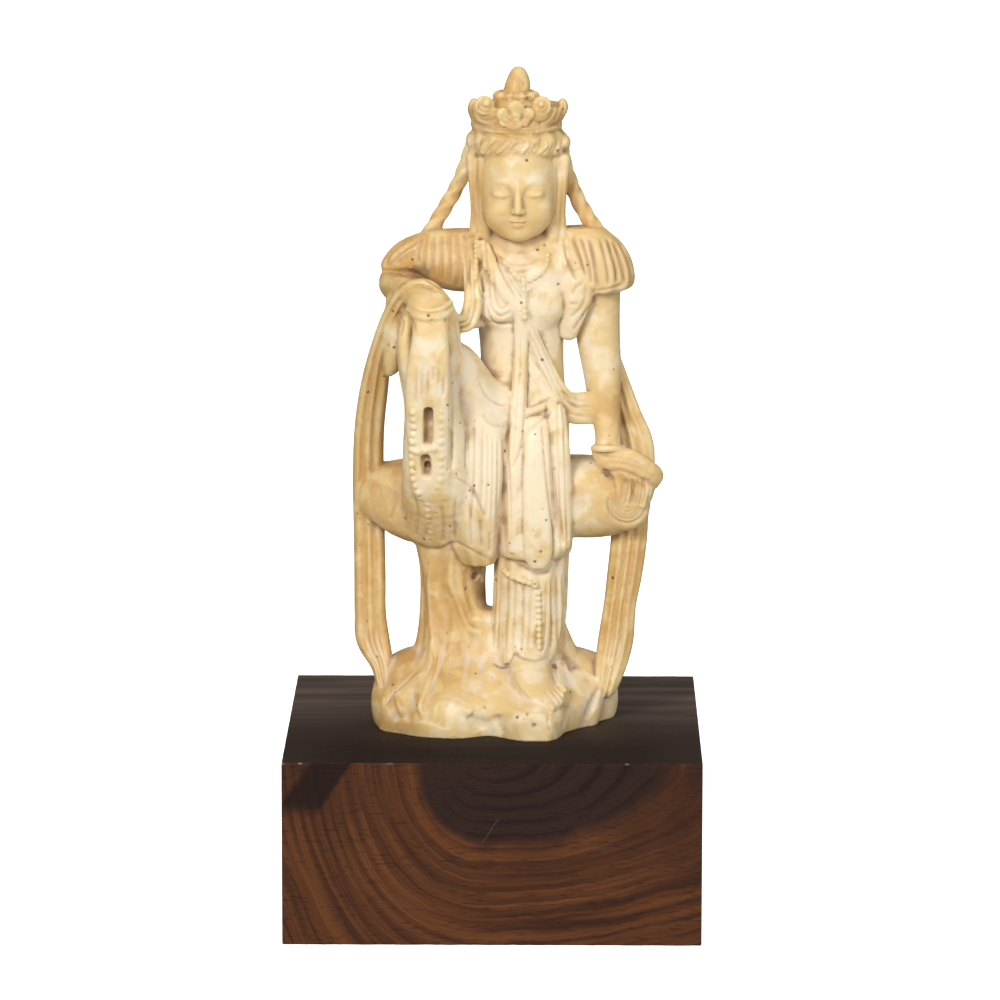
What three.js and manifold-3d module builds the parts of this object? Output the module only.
// Carved stone figure seated on a rock, one knee raised, on a plain hardwood plinth.
// Units are millimetres. +Z is up, the figure faces -Y, +X is the viewer's right.
// The origin is the middle of the plinth's underside. The figure is drawn from
// the plinth's top and lifted into place at the end.
import * as THREE from 'three';
import { mergeVertices } from 'three/addons/utils/BufferGeometryUtils.js';
import Module from 'manifold-3d';

const wasm = await Module();
wasm.setup();

// Driving dimensions

const PLINTH = { width: 190, depth: 190, height: 84.5, edge: 0.8 };

const FIGURE_HEIGHT = 304.6;
const MIDLINE = 10.8;          // the head and the neck stand this far right of the plinth's middle
const HEAD_HALF_WIDTH = 18;
const CHIN_Z = 227;
const FACE_THIRD = 13.3;       // chin to nose, nose to brow, brow to hair
const NOSE_Z = CHIN_Z + FACE_THIRD;
const BROW_Z = NOSE_Z + FACE_THIRD;
const EYE_Z = BROW_Z - 5.6;
const MOUTH_Z = CHIN_Z + FACE_THIRD * 0.62;
const CROWN_Z = 275.4;        // underside of the crown's band
const SHOULDER_Z = 222;
const WAIST_Z = 168;
const LEDGE_Z = 104;
const LEDGE_HALF_HEIGHT = 19;
const ROCK_TOP_Z = 36;
const SEAT_DEPTH = 27;
const HEM_Z = 30;
const UNDERCUT = { span: 400, depth: 40 };     // the space below the rock, cut away flat

const STONE = { color: 0xe4cf9f, roughness: 0.5, metalness: 0 };
const WOOD = { color: 0x3b2218, roughness: 0.45, metalness: 0 };

const SHORTEST_EDGE = 0.65;    // shorter edges, where facets cross, are taken out
const LEAST_AGREEMENT = 0.3;   // cosine between a facet's direction before and after

const TURN = Math.PI * 2;
const DEGREE = Math.PI / 180;

// Shape helpers

function stripped(geometry) {
  const bare = geometry.clone();
  bare.deleteAttribute('normal');
  bare.deleteAttribute('uv');
  return bare;
}

/** Turns a closed geometry into a manifold solid. */
function solid(geometry) {
  const welded = mergeVertices(stripped(geometry), 1e-4);
  return new wasm.Manifold(new wasm.Mesh({
    numProp: 3,
    vertProperties: new Float32Array(welded.attributes.position.array),
    triVerts: new Uint32Array(welded.index.array),
  }));
}

/** Skins equal rings of points and closes both ends with a fan. */
function skin(rings) {
  const sides = rings[0].length;
  const corners = [];
  const triangles = [];
  rings.forEach((ring) => ring.forEach((p) => corners.push(p.x, p.y, p.z)));
  for (let r = 0; r < rings.length - 1; r += 1) {
    for (let i = 0; i < sides; i += 1) {
      const a = r * sides + i;
      const b = r * sides + ((i + 1) % sides);
      triangles.push(a, b, a + sides, b, b + sides, a + sides);
    }
  }
  [0, rings.length - 1].forEach((r) => {
    const middle = new THREE.Vector3();
    rings[r].forEach((p) => middle.addScaledVector(p, 1 / sides));
    const hub = corners.length / 3;
    corners.push(middle.x, middle.y, middle.z);
    for (let i = 0; i < sides; i += 1) {
      const a = r * sides + i;
      const b = r * sides + ((i + 1) % sides);
      triangles.push(...(r === 0 ? [hub, b, a] : [hub, a, b]));
    }
  });
  const geometry = new THREE.BufferGeometry();
  geometry.setAttribute('position', new THREE.Float32BufferAttribute(corners, 3));
  geometry.setIndex(triangles);
  const body = solid(geometry);
  return body.volume() > 0 ? body : solid(flipped(geometry));
}

function flipped(geometry) {
  const index = Array.from(geometry.index.array);
  for (let i = 0; i < index.length; i += 3) {
    [index[i], index[i + 1]] = [index[i + 1], index[i]];
  }
  const copy = geometry.clone();
  copy.setIndex(index);
  return copy;
}

/** Reads a smooth curve through rows of equal length at t from 0 to 1. */
function between(rows, t) {
  const last = rows.length - 1;
  const place = Math.min(t * last, last - 1e-9);
  const i = Math.floor(place);
  const f = place - i;
  const at = (k) => rows[Math.max(0, Math.min(last, k))];
  return rows[0].map((_, c) => {
    const [a, b, d, e] = [at(i - 1)[c], at(i)[c], at(i + 1)[c], at(i + 2)[c]];
    const slopeIn = (d - a) / 2;
    const slopeOut = (e - b) / 2;
    const f2 = f * f;
    const f3 = f2 * f;
    return b * (2 * f3 - 3 * f2 + 1) + slopeIn * (f3 - 2 * f2 + f)
      + d * (3 * f2 - 2 * f3) + slopeOut * (f3 - f2);
  });
}

/** Distance from the middle of a section at an angle: 2 is an ellipse, more is boxier. */
function reach(angle, power) {
  const c = Math.abs(Math.cos(angle)) ** power;
  const s = Math.abs(Math.sin(angle)) ** power;
  return (c + s) ** (-1 / power);
}

/**
 * A limb or a ribbon: rows of [x, y, z, half width, half depth] along its middle.
 * The half depth lies towards `facing`, the half width across it.
 */
function limb(rows, options = {}) {
  const {
    sides = 8, steps = (rows.length - 1) * 3, power = 2, facing = [0, -1, 0],
    waves = 0, waveDepth = 0,
  } = options;
  const face = new THREE.Vector3(...facing);
  const middles = [];
  for (let s = 0; s <= steps; s += 1) {
    middles.push(between(rows, s / steps));
  }
  const rings = middles.map((row, s) => {
    const t = s / steps;
    const before = middles[Math.max(0, s - 1)];
    const after = middles[Math.min(steps, s + 1)];
    const along = new THREE.Vector3(after[0] - before[0], after[1] - before[1], after[2] - before[2]);
    along.normalize();
    const across = new THREE.Vector3().crossVectors(along, face).normalize();
    const deep = new THREE.Vector3().crossVectors(across, along).normalize();
    const swell = 1 + waveDepth * Math.cos(TURN * waves * t);
    const ring = [];
    for (let i = 0; i < sides; i += 1) {
      const angle = TURN * (i / sides);
      const r = reach(angle, power) * swell;
      const p = new THREE.Vector3(row[0], row[1], row[2]);
      p.addScaledVector(across, row[3] * r * Math.cos(angle));
      p.addScaledVector(deep, row[4] * r * Math.sin(angle));
      ring.push(p);
    }
    return ring;
  });
  return skin(rings);
}

/** A body in level slices: rows of [z, x, y, half width, half depth]. */
function slices(rows, options = {}) {
  const { sides = 16, steps = (rows.length - 1) * 2, power = 2, shape = () => 1 } = options;
  const rings = [];
  for (let s = 0; s <= steps; s += 1) {
    const t = s / steps;
    const [z, x, y, halfWidth, halfDepth] = between(rows, t);
    const ring = [];
    for (let i = 0; i < sides; i += 1) {
      const angle = TURN * (i / sides);
      const r = reach(angle, power) * shape(angle, t, i);
      ring.push(new THREE.Vector3(
        x + halfWidth * r * Math.cos(angle),
        y + halfDepth * r * Math.sin(angle),
        z,
      ));
    }
    rings.push(ring);
  }
  return skin(rings);
}

/** An ellipsoid, tilted about X by `tilt` degrees. */
function ball([x, y, z], [rx, ry, rz], options = {}) {
  const { around = 6, up = 4, tilt = 0 } = options;
  const geometry = new THREE.SphereGeometry(1, around, up);
  geometry.rotateX(Math.PI / 2);
  geometry.scale(rx, ry, rz);
  geometry.rotateX(tilt * DEGREE);
  geometry.translate(x, y, z);
  return solid(geometry);
}

/** A ring lying in the picture plane, like a curl of cloth or of the crown. */
function curl([x, y, z], radius, thickness, options = {}) {
  const { around = 10, section = 4, tilt = 0 } = options;
  const geometry = new THREE.TorusGeometry(radius, thickness, section, around);
  geometry.rotateX(Math.PI / 2 + tilt * DEGREE);
  geometry.translate(x, y, z);
  return solid(geometry);
}

/** A round boss facing the viewer, turned from steps of [radius, height]. */
function boss([x, y, z], steps, options = {}) {
  const { around = 10, tilt = 0 } = options;
  const profile = steps.map(([r, h]) => new THREE.Vector2(r, h));
  const geometry = new THREE.LatheGeometry(profile, around);
  geometry.rotateX(Math.PI / 2 + tilt * DEGREE);
  geometry.translate(x, y, z);
  const body = solid(geometry);
  return body.volume() > 0 ? body : solid(flipped(mergeVertices(stripped(geometry), 1e-4)));
}

/** A scroll: the boss of this radius has one raised coil round a raised eye. */
function scroll(place, radius, height, options = {}) {
  return boss(place, [
    [0, -height],
    [radius * 0.9, -height],
    [radius, 0],
    [radius * 0.82, height * 0.8],
    [radius * 0.5, height * 0.1],
    [radius * 0.3, height * 0.9],
    [0, height],
  ], options);
}

function join(parts) {
  return parts.reduce((whole, part) => whole.add(part));
}

/**
 * Takes out the short edges that crossing facets leave, one at a time and only where
 * the skin stays closed and no facet beside the edge turns over.
 */
function withoutSlivers(body, shortest) {
  const { vertProperties, triVerts } = body.getMesh();
  const corner = (v) => new THREE.Vector3().fromArray(vertProperties, v * 3);
  const facets = [];
  const touching = new Map();
  for (let i = 0; i < triVerts.length; i += 3) {
    const facet = Array.from(triVerts.slice(i, i + 3));
    facets.push(facet);
    facet.forEach((v) => touching.set(v, (touching.get(v) || new Set()).add(facet)));
  }
  const neighbours = (v) => new Set([...touching.get(v)].flat().filter((w) => w !== v));
  const facing = (facet) => {
    const [a, b, c] = facet.map(corner);
    return b.sub(a).cross(c.sub(a)).normalize();
  };
  const staysUpright = (gone, kept) => [...touching.get(gone)].every((facet) => (
    facet.includes(kept)
    || facing(facet).dot(facing(facet.map((v) => (v === gone ? kept : v)))) > LEAST_AGREEMENT
  ));
  const collapse = (gone, kept) => {
    touching.get(gone).forEach((facet) => {
      if (facet.includes(kept)) {
        facet.forEach((v) => touching.get(v).delete(facet));
        facet.length = 0;
      } else {
        facet[facet.indexOf(gone)] = kept;
        touching.get(kept).add(facet);
      }
    });
    touching.get(gone).clear();
  };
  facets.forEach((facet) => {
    for (let k = 0; k < facet.length; k += 1) {
      const [kept, gone] = [facet[k], facet[(k + 1) % 3]].sort((a, b) => corner(a).z - corner(b).z);
      if (corner(kept).distanceTo(corner(gone)) < shortest) {
        const others = neighbours(gone);
        const shared = [...neighbours(kept)].filter((v) => others.has(v));
        if (shared.length === 2 && staysUpright(gone, kept)) {
          collapse(gone, kept);
        }
      }
    }
  });
  const geometry = new THREE.BufferGeometry();
  geometry.setAttribute('position', new THREE.BufferAttribute(vertProperties, 3));
  geometry.setIndex(facets.flat());
  return solid(geometry);
}

function geometryOf(body) {
  const { vertProperties, triVerts } = body.getMesh();
  const geometry = new THREE.BufferGeometry();
  geometry.setAttribute('position', new THREE.BufferAttribute(vertProperties, 3));
  geometry.setIndex(new THREE.BufferAttribute(triVerts, 1));
  return geometry;
}

/** Cloth folds round a body: every second corner of the ring stands in. */
function folds(depth, from = 0, to = 1) {
  return (angle, t, i) => (i % 2 && t >= from && t <= to ? 1 - depth : 1);
}

// Rock

const ROCK = { x: 1.4, y: -1, halfWidth: 57.5, halfDepth: 45, facets: 26, facetDepth: 0.012 };
// Where the rock's plan stands out or is cut back: degrees, spread, share, height where it fades.
const ROCK_LOBES = [
  { at: -135, spread: 30, share: 0.06, top: 60 },
  { at: -95, spread: 11, share: -0.13, top: 22 },
  { at: -72, spread: 11, share: 0.16, top: 20 },
  { at: -36, spread: 20, share: -0.22, top: 60 },
  { at: -8, spread: 16, share: -0.09, top: 60 },
];
const ROCK_FADE = { over: 12, least: 0.15 };

/** The rock's uneven plan at a height: a blunt nose under the foot and cut-back flanks. */
function rockPlan(angle, z) {
  const degrees = angle / DEGREE;
  return ROCK_LOBES.reduce((r, { at, spread, share, top }) => {
    const turn = ((degrees - at + 540) % 360) - 180;
    const fade = Math.min(1, Math.max(ROCK_FADE.least, (top - z) / ROCK_FADE.over));
    return r + share * fade * Math.exp(-((turn / spread) ** 2));
  }, 1);
}

function rockBase() {
  const { x, y, halfWidth: w, halfDepth: d } = ROCK;
  const rows = [
    [-2, x, y, w * 0.95, d * 0.95],
    [4, x, y, w, d],
    [13, x, y, w, d * 0.97],
    [20, x + 0.4, y + 3, w * 0.975, d * 0.82],
    [27, x + 0.6, y + 3, w * 0.905, d * 0.6],
    [ROCK_TOP_Z - 3, x - 1, y + 2, w * 0.72, d * 0.34],
  ];
  const shape = (angle, t, i) => rockPlan(angle, between(rows, t)[0]) - (i % 2) * ROCK.facetDepth;
  return slices(rows, { sides: ROCK.facets, steps: 6, power: 2.3, shape });
}

/** The rock spur that rises behind the hanging leg and carries the seat. */
function rockColumn() {
  return join([
    slices([
      [22, -20.6, -2, 22, 23],
      [36, -19.2, 0, 16.8, 18],
      [54, -19, 2, 15, 16],
      [74, -19.2, 2, 15.8, 17],
      [94, -19, 2, 22, 20],
    ], { sides: 10, steps: 5, shape: (angle, t, i) => (i % 3 === 0 ? 0.95 : 1.02) }),
    slices([
      [24, -4, -8, 12, 15],
      [42, -3, -4, 9.5, 11],
      [55, -3.4, -2, 6, 8],
    ], { sides: 6, steps: 2 }),
    slices([
      [20, 19, 2, 26, 20],
      [36, 18.6, 0, 18, 14],
      [50, 18, 0, 13, 10],
    ], { sides: 8, steps: 2 }),
  ]);
}

/** The level seat of rock, from the long scarf on the left to the hand on the right. */
function rockSeat() {
  const h = LEDGE_HALF_HEIGHT;
  return limb([
    [-56, 3, LEDGE_Z + 2.6, h - 5, 9],
    [-48, 3, LEDGE_Z + 1.4, h - 3.4, 16],
    [-32, 4, LEDGE_Z - 2, h + 1, SEAT_DEPTH - 4],
    [0, 6, LEDGE_Z - 1, h + 1, SEAT_DEPTH],
    [28, 5, LEDGE_Z + 0.4, h, SEAT_DEPTH - 2],
    [48, 2, LEDGE_Z + 0.6, h, 20],
    [59, 0, LEDGE_Z, h - 4, 14],
    [65, -1, LEDGE_Z - 1, h - 9, 9],
  ], { sides: 8, steps: 9, power: 2.6 });
}

// Body and dress

function torso() {
  return slices([
    [112, 13.6, 3, 21, 20],
    [132, 13.4, 3, 20.6, 19],
    [150, 13, 2, 20, 17],
    [WAIST_Z, 12.8, 1, 19.1, 14.5],
    [184, 12.4, 1, 19.9, 15],
    [199, 12.4, 1, 23, 17],
    [212, 12, 1, 30, 17],
    [SHOULDER_Z + 1, 12, 2, 28, 13],
    [SHOULDER_Z + 9, 11.5, 3, 14, 10],
  ], { sides: 12, steps: 9 });
}

function neck() {
  return slices([
    [212, MIDLINE, 1, 13, 13],
    [224, MIDLINE, -1, 10.5, 10.5],
    [240, MIDLINE, -2, 10, 10.5],
  ], { sides: 8, steps: 2 });
}

/** The cape over the arm that is held out to the viewer's left. */
function leftCape() {
  return limb([
    [2, 2, 213, 13.6, 14],
    [-11, 1, 215, 14.6, 14.5],
    [-20, 1, 215.4, 14.2, 13.8],
    [-31, 1, 217.2, 11.2, 11.8],
    [-41, 1, 215.6, 8.2, 9],
    [-49.4, 0.5, 212.6, 4.2, 5.5],
  ], { sides: 8, steps: 12, waves: 6, waveDepth: 0.04 });
}

/** The cape that hangs like a bell over the straight arm. */
function rightCape() {
  return slices([
    [201, 46, 0, 12, 12],
    [203.6, 46.6, 0, 16.6, 14],
    [209, 46.8, 0.5, 17.4, 15],
    [217, 45.6, 1, 16.6, 14.5],
    [224, 43, 1.5, 14.6, 12],
    [230.6, 40.4, 2, 9.6, 8],
  ], { sides: 18, steps: 4, shape: folds(0.09, 0, 0.8) });
}

function leftArm() {
  return join([
    limb([
      [-30, 2, 212, 6, 7],
      [-45.6, 1, 206, 6.2, 7],
      [-46.6, -5, 203.6, 6, 6.5],
      [-41, -17, 203.4, 5.8, 6],
      [-35, -29, 202.4, 5.8, 6],
      [-30.5, -37, 198, 7, 6],
    ], { sides: 6, steps: 7, facing: [0, 0, 1] }),
    limb([
      [-29.8, -35, 200, 8.8, 6],
      [-28.8, -40, 192.4, 8, 4.8],
      [-28.8, -42.6, 183, 8.6, 4.2],
      [-29.6, -43.2, 172, 9.6, 3.8],
      [-30, -42.6, 163, 10, 3.4],
      [-30, -41, 152, 9.9, 3.2],
      [-29.8, -38.6, 136, 9.4, 3],
      [-29.2, -36, 121, 9.2, 2.8],
    ], { sides: 6, steps: 6, power: 3 }),
    limb([
      [-39.2, -35.6, 193, 2.4, 3],
      [-40.2, -37.2, 183, 3.6, 4],
      [-39.4, -38.4, 171, 3, 3.6],
      [-38, -39, 163, 2, 3],
    ], { sides: 6, steps: 3 }),
    limb([
      [-45.6, -16, 199, 4, 7],
      [-45.4, -16, 184, 5, 8],
      [-46.6, -13, 170, 4.6, 7],
      [-48.6, -10, 164, 2.4, 4],
    ], { sides: 6, steps: 4 }),
    limb([
      [-38, -36, 197.6, 2.1, 2.1],
      [-34.2, -42, 195.6, 2.1, 2.1],
      [-28.8, -43.6, 194.8, 2.1, 2.1],
      [-23.4, -42, 195.6, 2.1, 2.1],
      [-19.6, -36, 197.6, 2.1, 2.1],
    ], { sides: 5, steps: 5, facing: [0, -0.3, 1] }),
  ]);
}

/** Four fingers side by side from the knuckles down to the tips. */
function hangingFingers(knuckle, tip, pitch, radius) {
  const middleLonger = [0, 2.2, 2, 0.3];
  return middleLonger.map((extra, i) => limb([
    [knuckle[0] + i * pitch, knuckle[1], knuckle[2], radius, radius],
    [knuckle[0] + i * pitch, (knuckle[1] + tip[1]) / 2 - 0.9, (knuckle[2] + tip[2]) / 2, radius, radius],
    [tip[0] + i * pitch * 0.92, tip[1], tip[2] - extra, radius * 0.72, radius * 0.72],
  ], { sides: 4, steps: 2 }));
}

function rightArm() {
  return join([
    limb([
      [48.2, 1, 216, 10, 8.6],
      [47.4, 2, 199, 10.6, 8.4],
      [47.8, 2, 182, 10.2, 8.2],
      [49.4, 1, 166, 8.8, 8],
      [50.8, -1.5, 150, 7.2, 7],
      [52.2, -5, 137, 5.8, 5.8],
      [52.6, -9, 124, 5.6, 5],
    ], { sides: 8, steps: 8 }),
    limb([
      [50, -7, 127, 5, 5],
      [56, -11, 124, 7, 5],
      [63, -13, 120.4, 8.6, 5.6],
      [69.4, -12, 117, 7.6, 5.4],
      [73.4, -10, 116.2, 5.6, 4.4],
      [75.6, -9, 117, 3.2, 3],
    ], { sides: 6, steps: 6 }),
    limb([
      [71.8, -11, 113.4, 3, 4],
      [70.6, -12, 107.6, 3, 4],
      [68.4, -12, 103, 2.6, 3.6],
    ], { sides: 5, steps: 2 }),
    ...hangingFingers([57.4, -14.2, 118], [56.4, -15, 104], 4.4, 2.3),
    curl([52.6, -8, 128], 5.9, 1.3, { around: 8, section: 3, tilt: 80 }),
    scroll([61.2, -12, 102.6], 11.2, 4.4, { around: 10 }),
  ]);
}

/** The raised knee with the shin below it and the thigh running back to the hip. */
function raisedLeg() {
  return join([
    limb([
      [-29, -24, 195, 11, 8],
      [-29.6, -26, 186, 14.2, 12.5],
      [-29.4, -26.5, 171, 14.4, 14.5],
      [-28, -25, 152, 13, 14],
      [-26.5, -23, 132, 15.2, 14],
      [-25.5, -20, 112, 16.7, 14.5],
      [-26, -12, 92, 14, 9],
    ], { sides: 10, steps: 9, power: 2.2 }),
    limb([
      [-30, -28, 174, 11, 13],
      [-19.6, -18, 167, 13.4, 14],
      [-9, -9, 151, 14.6, 16.2],
      [6, -2, 143, 18.2, 18],
      [16, 2, 134, 17, 16],
    ], { sides: 8, steps: 6, facing: [0.5, -0.8, 0.2] }),
  ]);
}

/** Cloth that falls from the raised thigh over the front of the seat. */
function lapCloth() {
  return join([
    slices([
      [75.4, -7, -14, 6.6, 6],
      [84, -8, -15.5, 10.6, 9],
      [100, -9, -16, 13.4, 13],
      [120, -8, -15, 15.4, 14],
      [142, -7, -11, 14.4, 14],
      [162, -9, -10, 10, 12],
    ], { sides: 14, steps: 5, shape: folds(0.06, 0, 0.85) }),
    limb([
      [-15, -17, 162, 5, 8],
      [-15, -17, 140, 5, 9.4],
      [-15, -16, 118, 5, 9.4],
      [-14, -14, 98, 5, 8],
    ], { sides: 6, steps: 3 }),
  ]);
}

/** The long skirt over the hanging leg, from the hip to the ankle. */
function skirt() {
  return join([
    slices([
      [HEM_Z, 13.6, -10, 14.6, 15],
      [HEM_Z + 7, 14.6, -9, 16.8, 15],
      [52, 16.4, -8, 17.2, 14],
      [72, 17.2, -8, 17.2, 14],
      [92, 18, -7, 17.2, 15],
    ], { sides: 16, steps: 4, shape: folds(0.06) }),
    slices([
      [79, 18, -9, 15.6, 15.5],
      [84, 18.2, -9, 18, 17.5],
      [104, 17, -7.5, 19, 18],
      [126, 14, -4, 20.8, 19],
      [146, 13.6, 0, 20.6, 17.5],
      [158, 13.4, 1, 18.8, 15.4],
    ], { sides: 16, steps: 5, shape: folds(0.06, 0, 0.85) }),
    limb([
      [20, -17, 142, 6, 3.6],
      [19.6, -21, 128, 6.4, 3.6],
      [19.6, -24, 104, 7, 3.4],
      [20.4, -24.6, 84, 6.6, 3.2],
      [20.4, -24.4, 77.2, 4.6, 2.6],
    ], { sides: 8, steps: 5, power: 2.6 }),
    limb([
      [28.6, -14, 147, 4, 4],
      [29.6, -17.6, 128, 5, 4.4],
      [30.4, -19.4, 104, 5, 4.4],
      [30.6, -19.6, 86, 4.6, 4],
    ], { sides: 6, steps: 3 }),
  ]);
}

const FOOT_HOLLOW = { place: [23, -37, 26], radii: [13, 13, 8.6] };
const TOES = { count: 5, first: [26.4, -42, 13.6], step: [1.7, 2.4, 1.6], big: 2.3, small: 1.8 };

/** The bare foot, turned out a little, with five toes over the rock's edge. */
function foot() {
  const parts = [limb([
    [16.4, -17, 35, 9.4, 7],
    [17, -24.5, 28, 9.8, 6.6],
    [19.6, -31, 21, 9.8, 5.4],
    [24, -36, 16.8, 9, 4.2],
    [27.4, -38.6, 14.6, 7.8, 3.2],
  ], { sides: 6, steps: 4, facing: [0.4, -0.7, 1] })];
  for (let toe = 0; toe < TOES.count; toe += 1) {
    const size = toe === 0 ? TOES.big : TOES.small;
    const place = TOES.first.map((from, axis) => from + toe * TOES.step[axis]);
    parts.push(ball(place, [size, size * 1.5, size], { around: 5, up: 3 }));
  }
  return join(parts);
}

// Head

function head() {
  const x = MIDLINE;
  const w = HEAD_HALF_WIDTH;
  const skull = slices([
    [CHIN_Z - 0.6, x, -12, 5.4, 5],
    [CHIN_Z + 2.5, x, -10.6, 10.8, 8.8],
    [CHIN_Z + 7, x, -8.4, 14.4, 12],
    [CHIN_Z + 14, x, -6, 16.8, 15],
    [CHIN_Z + 24, x, -3.8, w, 17.4],
    [CHIN_Z + 34, x, -2.6, w, 18.2],
    [CHIN_Z + 47, x, -1.4, 15, 16.5],
  ], { sides: 12, steps: 8 });
  const nose = limb([
    [x, -20.2, BROW_Z - 1, 1.5, 1.8],
    [x, -21.6, EYE_Z - 2, 1.8, 2.1],
    [x, -22, NOSE_Z + 1, 2.6, 2.4],
  ], { sides: 5, steps: 2 });
  const lips = [
    ball([x, -19.8, MOUTH_Z + 1.1], [3.8, 2.4, 1.1], { up: 3 }),
    ball([x, -19.4, MOUTH_Z - 1.2], [3.1, 2.4, 1.2], { up: 3 }),
  ];
  const lids = [-1, 1].map((side) => (
    ball([x + side * 7.3, -18.2, EYE_Z], [4, 2.6, 1.9], { up: 3 })
  ));
  const brows = [-1, 1].map((side) => limb([
    [x + side * 2.4, -20.2, BROW_Z - 2, 1, 1.2],
    [x + side * 7, -19.2, BROW_Z, 1, 1.2],
    [x + side * 12, -15.8, BROW_Z - 2, 0.8, 1],
  ], { sides: 4, steps: 3 }));
  return join([skull, nose, ...lips, ...lids, ...brows]);
}

const PEARL = { around: 5, up: 3 };
const HAIR = { halfWidth: 22, halfDepth: 21.4, locks: 8 };

/** Drawn-up hair under the crown, its edge cut into locks, and a lock beside each cheek. */
function hair() {
  const x = MIDLINE;
  const { halfWidth: w, halfDepth: d } = HAIR;
  const parts = [
    slices([
      [244, x, 8, 15, 11],
      [252, x, 7, 19.4, 14.4],
      [260, x, 5.6, w - 1, d - 6],
      [264.2, x, 2, w, d - 3],
      [266.4, x, 0.4, w + 0.4, d - 1],
      [270.4, x - 0.3, 0, w + 0.8, d - 0.5],
      [CROWN_Z + 0.6, x - 0.6, 0, w - 2, d - 1.4],
    ], { sides: HAIR.locks * 2, steps: 5, shape: folds(0.03, 0.1, 0.9) }),
    limb([
      [x, 5, 256, 20.5, 12],
      [x, 6, 240, 20.3, 11],
      [x, 6.5, 222, 20.6, 10.5],
    ], { sides: 8, steps: 2 }),
    ball([-10.2, -3, 270.8], [2.8, 6, 3.6], PEARL),
    ball([31.8, -3, 270.2], [3, 6, 3.6], PEARL),
  ];
  [-1, 1].forEach((side) => {
    parts.push(limb([
      [x + side * 15.6, -2, 262, 5, 9],
      [x + side * 15.6, -1.6, 244, 5, 8.4],
      [x + side * 15.6, -1, 226, 5, 8],
    ], { sides: 6, steps: 2 }));
    parts.push(limb([
      [x + side * 21, -5, 263, 3.2, 4],
      [x + side * 20, -5, 250, 2.6, 3.6],
      [x + side * 19.6, -3.5, 238, 2.2, 3.2],
      [x + side * 20.4, -4, 226, 2.4, 3.4],
      [x + side * 21.6, -9, 214, 2.4, 4.5],
    ], { sides: 4, steps: 5, waves: 2.5, waveDepth: 0.08 }));
  });
  return join(parts);
}

const CROWN = { x: 10, halfWidth: 19.7, halfDepth: 19.7, height: 12 };
const CURLS = { places: [[-4.6, -16.8], [21.6, -16.8]], z: 288.4, radius: 4.6 };
const HORNS = { places: [-9.4, 31], z: 286.6, radii: [2.6, 4.4, 4] };
const FLOWER = { x: 9.5, y: -20.3, z: 284.1 };

/** Crown: a flared band with two spiral curls, a front flower of four petals and side horns. */
function crown() {
  const { x, halfWidth: w, halfDepth: d, height } = CROWN;
  const z = CROWN_Z;
  const petal = (across, up, radii) => (
    ball([FLOWER.x + across, FLOWER.y, FLOWER.z + up], radii, { around: 7, up: 4 })
  );
  const knot = (across) => ball([x + across, 2 - d, z + 4.4], [2.6, 2, 1.6], PEARL);
  return join([
    slices([
      [z, x, 0, w, d],
      [z + 1, x, 0, w + 0.7, d + 0.8],
      [z + 3, x, 0, w + 1.5, d + 1],
      [z + 6, x, 0, w + 2.6, d + 1],
      [z + 10, x + 0.3, 0, w + 3.4, d + 1.2],
      [z + height, x + 0.3, 0, w + 3, d + 1],
    ], { sides: 16, steps: 5, shape: folds(0.03, 0.4, 1) }),
    petal(0, 3.7, [4, 1.9, 3.6]),
    petal(-5.6, 0.7, [3.1, 1.6, 3.3]),
    petal(5.8, 0.9, [3.1, 1.6, 3]),
    petal(-0.5, -3.7, [4.1, 2, 3.1]),
    knot(-12),
    knot(12.4),
    ...CURLS.places.map(([cx, cy]) => (
      scroll([cx, cy, CURLS.z], CURLS.radius, 2, { around: 8, tilt: -8 })
    )),
    ...HORNS.places.map((hx) => ball([hx, -5, HORNS.z], HORNS.radii, PEARL)),
  ]);
}

const KNOT = { knobs: 9, reach: 8.8, drop: 13.2, radius: 2.1 };

/** Topknot: a ring of round lobes with an egg-shaped finial. */
function topknot() {
  const x = MIDLINE;
  const top = FIGURE_HEIGHT;
  const parts = [slices([
    [top - 20, x - 0.6, -1, 17, 16],
    [top - 17, x - 0.8, -1, 13, 12.6],
    [top - 14.6, x - 1.3, -1, 9.9, 9.7],
    [top - 12, x - 1.4, -1, 8.2, 8.2],
    [top - 10.3, x - 0.6, -1, 6.2, 6.2],
    [top - 8.6, x - 0.4, -1, 6, 6],
    [top - 5.6, x - 0.2, -0.8, 5.4, 5.4],
    [top - 2.6, x, -0.6, 4, 4],
    [top, x, -0.4, 1.8, 1.8],
  ], { sides: 10, steps: 7 })];
  for (let knob = 0; knob < KNOT.knobs; knob += 1) {
    const angle = TURN * (knob / KNOT.knobs);
    const place = [
      x - 1 + KNOT.reach * Math.cos(angle),
      -1 + KNOT.reach * Math.sin(angle),
      top - KNOT.drop,
    ];
    parts.push(ball(place, [KNOT.radius, KNOT.radius, KNOT.radius], PEARL));
  }
  return join(parts);
}

// Ropes, scarves and strings of beads

/** Cords from the crown down to the shoulders, clear of the cheeks. */
function crownRopes() {
  const options = { sides: 5, steps: 8 };
  return join([
    limb([
      [-9.6, 5, 271, 3.3, 3],
      [-12.4, 6, 261, 3.3, 3],
      [-17, 6, 249, 3.3, 3],
      [-23.4, 5, 238, 3.3, 3],
      [-31, 2, 225.5, 3.3, 3],
    ], options),
    limb([
      [30.8, 5, 271, 3.3, 3],
      [31.8, 6, 261, 3.4, 3],
      [35, 6, 250, 3.5, 3],
      [40.8, 5, 238, 3.5, 3],
      [49.4, 2, 225, 3.5, 3],
    ], options),
  ]);
}

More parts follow.
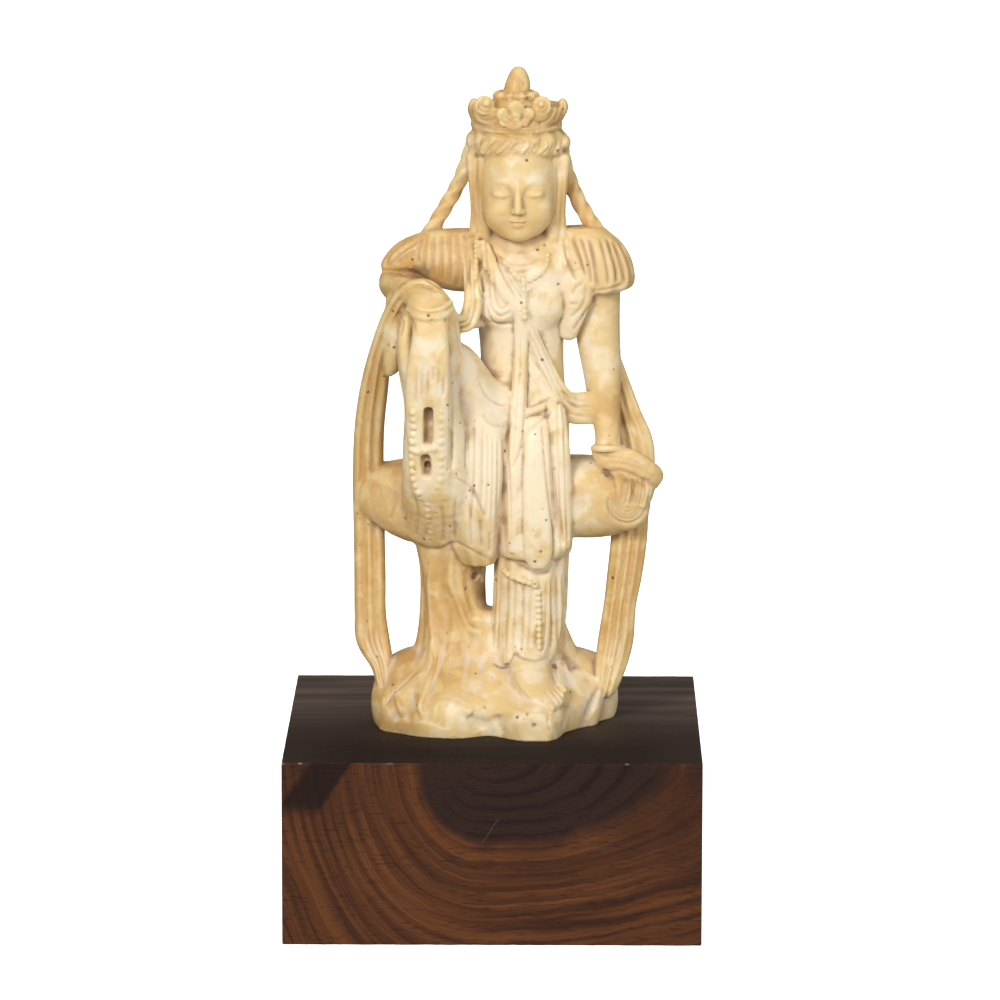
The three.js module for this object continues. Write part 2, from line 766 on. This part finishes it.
/** The long scarf: down the chest, looped up over the forearm and down to the rock. */
function leftScarf() {
  return limb([
    [-11, -8, 224, 3.8, 3],
    [-10.4, -13, 212, 4, 3],
    [-9.6, -17, 199, 4.4, 3],
    [-12.4, -21, 190, 4.8, 3],
    [-19, -25, 191, 4.2, 3],
    [-23.6, -29, 200, 4.3, 3.2],
    [-30.4, -31, 206.2, 4.7, 3.4],
    [-38.6, -27, 204.2, 4.9, 3.6],
    [-46, -20, 192.4, 5.2, 3.8],
    [-51.8, -12, 175, 5.6, 4.4],
    [-55.3, -5, 156, 6.9, 5],
    [-57.7, 0, 136, 7.3, 5.6],
    [-58.3, 2, 112, 7.6, 6],
    [-57.9, 3, 88, 7.6, 6],
    [-57.6, 2, 66, 7.2, 6],
    [-57.6, 1, 50, 7.1, 6],
    [-56.6, -1, 38, 7.7, 6],
    [-53, -5, 27, 6, 6],
    [-50.4, -11, 17, 4, 5],
  ], { sides: 6, steps: 25, power: 2.4 });
}

/** The second scarf: from behind the straight arm past the hand and down to the rock. */
function rightScarf() {
  return limb([
    [50, 8, 206, 5, 4],
    [50.4, 9, 188, 5, 4],
    [51.2, 9, 174, 5.4, 4],
    [55.4, 9, 158, 6.6, 4],
    [60.2, 8, 142, 7.8, 4.4],
    [64.2, 6, 128, 9.4, 5],
    [65, 5, 114, 9, 6],
    [63.2, 4, 98, 8.6, 6],
    [62.4, 3, 84, 8.5, 5.6],
    [60.6, 2, 68, 8.2, 5.4],
    [58.4, 1, 54, 7.5, 5.4],
    [56.6, 0, 38, 8.2, 5.6],
    [54, -3, 26, 6.8, 6],
    [52, -6, 15, 4.6, 6],
  ], { sides: 6, steps: 19, power: 2.4 });
}

/** Crossed bands on the chest, the scarf to the arm and the long centre sash. */
function chestScarves() {
  return join([
    limb([
      [-6, -12, 224, 3.6, 2],
      [0, -15.4, 212, 3.6, 2],
      [7, -15.8, 200, 3.6, 2],
      [14, -14.6, 190, 3, 2],
      [21.4, -12.6, 174, 3, 2],
      [27.6, -11.6, 159, 4.4, 2.4],
      [34, -8, 148.4, 7.1, 3],
      [48, -3, 147.4, 7.8, 4],
    ], { sides: 4, steps: 7 }),
    limb([
      [-7.5, -10.4, 206, 4.4, 2.6],
      [-3.4, -13.4, 196, 4.8, 2.6],
      [4, -15, 193.4, 4.6, 2.4],
      [11, -15, 199, 3, 2.2],
    ], { sides: 4, steps: 5 }),
    limb([
      [33, -7, 213, 7, 5],
      [33, -7, 199, 6.4, 5],
      [33.6, -5.4, 184, 4, 4],
    ], { sides: 6, steps: 2 }),
    limb([
      [40, -11, 208, 7, 3.6],
      [37.6, -10.4, 196, 6, 3.4],
      [34.6, -8, 183, 3, 2.6],
    ], { sides: 6, steps: 3 }),
    limb([
      [12.4, -15.8, 197, 3.6, 1.6],
      [12.2, -14, 176, 3.6, 1.8],
      [11.4, -17.2, 154, 3.8, 1.8],
      [10.2, -21.4, 132, 3.2, 1.8],
      [8.6, -23.4, 112, 2.4, 1.8],
      [8.6, -24, 84, 2, 1.6],
    ], { sides: 4, steps: 7 }),
    limb([
      [-7, -9, 151, 2.4, 7],
      [3, -15.4, 146.6, 1.8, 3],
      [14, -17.6, 147, 1.8, 2.4],
      [26, -14.4, 152, 1.8, 2.4],
      [33, -6, 156, 1.8, 3.4],
    ], { sides: 4, steps: 6 }),
    ball([1.6, -11.4, 202], [8, 4.4, 7.6]),
    ball([-2.6, -8.6, 214], [8, 4.6, 9]),
  ]);
}

/** A string of beads as one rippled cord along rows of [x, y, z]. */
function beads(rows, radius, count) {
  return limb(
    rows.map(([x, y, z]) => [x, y, z, radius, radius]),
    { sides: 4, steps: count * 2, waves: count, waveDepth: 0.2, facing: [0, -1, 0.2] },
  );
}

const PRAYER_BEAD_RADIUS = 1.7;

/** Prayer beads that hang from the hand on the knee, down the shin to the seat. */
function prayerBeads() {
  const r = PRAYER_BEAD_RADIUS;
  const end = [-31.4, -36.2, 112];
  return join([
    beads([[-37, -42.4, 153], [-37.2, -41, 136], [-37.2, -37.6, 119], end], r, 9),
    beads([[-24, -43.4, 153], [-24, -41.2, 136], [-24.4, -38, 119], end], r, 9),
    beads([[-34.4, -41.6, 134.2], [-30.6, -42, 133.8], [-26, -41.6, 134.4]], r, 3),
    beads([end, [-30.4, -34.8, 103], [-29.6, -33, 95]], r * 0.9, 3),
  ]);
}

/** The bead necklace with its pendant, and the swag of beads over the skirt. */
function jewels() {
  return join([
    limb([
      [-3, -7.6, 224, 1.3, 1.6],
      [1, -12.8, 217, 1.3, 1.6],
      [MIDLINE, -15.6, 212, 1.3, 1.6],
      [20.6, -12.8, 217, 1.3, 1.6],
      [24.6, -7.6, 224, 1.3, 1.6],
    ], { sides: 4, steps: 6 }),
    limb([
      [-5, -9, 222, 1.3, 1.8],
      [1, -14.6, 211.6, 1.3, 1.8],
      [11.4, -17.6, 206, 1.3, 1.8],
      [21.6, -15, 212, 1.3, 1.8],
      [26.6, -9, 222, 1.3, 1.8],
    ], { sides: 4, steps: 6 }),
    ball([12.4, -16.4, 201.6], [2.5, 2.8, 4.6]),
    beads([[3.6, -19.4, 81], [10, -23.2, 75], [16.6, -24, 72], [20.4, -22.8, 72]], 1.8, 4),
    beads([[20.4, -22.8, 72.6], [20.8, -21.8, 56], [21, -22.6, 41]], 1.8, 6),
  ]);
}

// Pierced and sunk places

/** Small sunk places: two windows between the bead strands, and one in the spur. */
function sunkPlaces() {
  return join([
    limb([[-29.8, -40, 153.6, 2.4, 11], [-29.8, -38, 138.6, 2.4, 11]], { steps: 1, power: 5 }),
    limb([[-30.8, -38, 130.6, 2.7, 11], [-30.8, -36, 122.4, 2.3, 9]], { steps: 1, power: 4 }),
    ball([-8.6, -13, 70], [1.9, 4, 3.2]),
  ]);
}

/** The rock with the hollow that the foot rests in. */
function rock() {
  const hollow = ball(FOOT_HOLLOW.place, FOOT_HOLLOW.radii, { around: 8, up: 5 });
  return join([rockBase(), rockColumn()]).subtract(hollow).add(rockSeat());
}

function carving() {
  const whole = join([
    rock(), torso(), neck(), leftCape(), rightCape(), leftArm(), rightArm(),
    raisedLeg(), lapCloth(), skirt(), foot(),
    head(), hair(), crown(), topknot(), crownRopes(),
    leftScarf(), rightScarf(), chestScarves(), prayerBeads(), jewels(),
  ]);
  const floor = new THREE.BoxGeometry(UNDERCUT.span, UNDERCUT.span, UNDERCUT.depth);
  floor.translate(0, 0, -UNDERCUT.depth / 2);
  const cut = whole.subtract(sunkPlaces()).subtract(solid(floor));
  return withoutSlivers(cut, SHORTEST_EDGE);
}

/** The hardwood block, its edges just broken. */
function plinthBlock() {
  const { width, depth, height, edge } = PLINTH;
  const rim = (inset, z) => [
    [-1, -1], [1, -1], [1, 1], [-1, 1],
  ].map(([sx, sy]) => new THREE.Vector3(
    sx * (width / 2 - inset),
    sy * (depth / 2 - inset),
    z,
  ));
  return skin([
    rim(edge, 0),
    rim(0, edge),
    rim(0, height - edge),
    rim(edge, height),
  ]);
}

function meshFrom(body, name, look) {
  const geometry = geometryOf(body);
  geometry.computeVertexNormals();
  const mesh = new THREE.Mesh(geometry, new THREE.MeshStandardMaterial(look));
  mesh.name = name;
  return mesh;
}

function buildObject() {
  const object = new THREE.Group();
  object.name = 'figure_on_plinth';
  const figure = carving().translate([0, 0, PLINTH.height]);
  object.add(meshFrom(figure, 'figure', STONE));
  object.add(meshFrom(plinthBlock(), 'plinth', WOOD));
  return object;
}

export default buildObject();
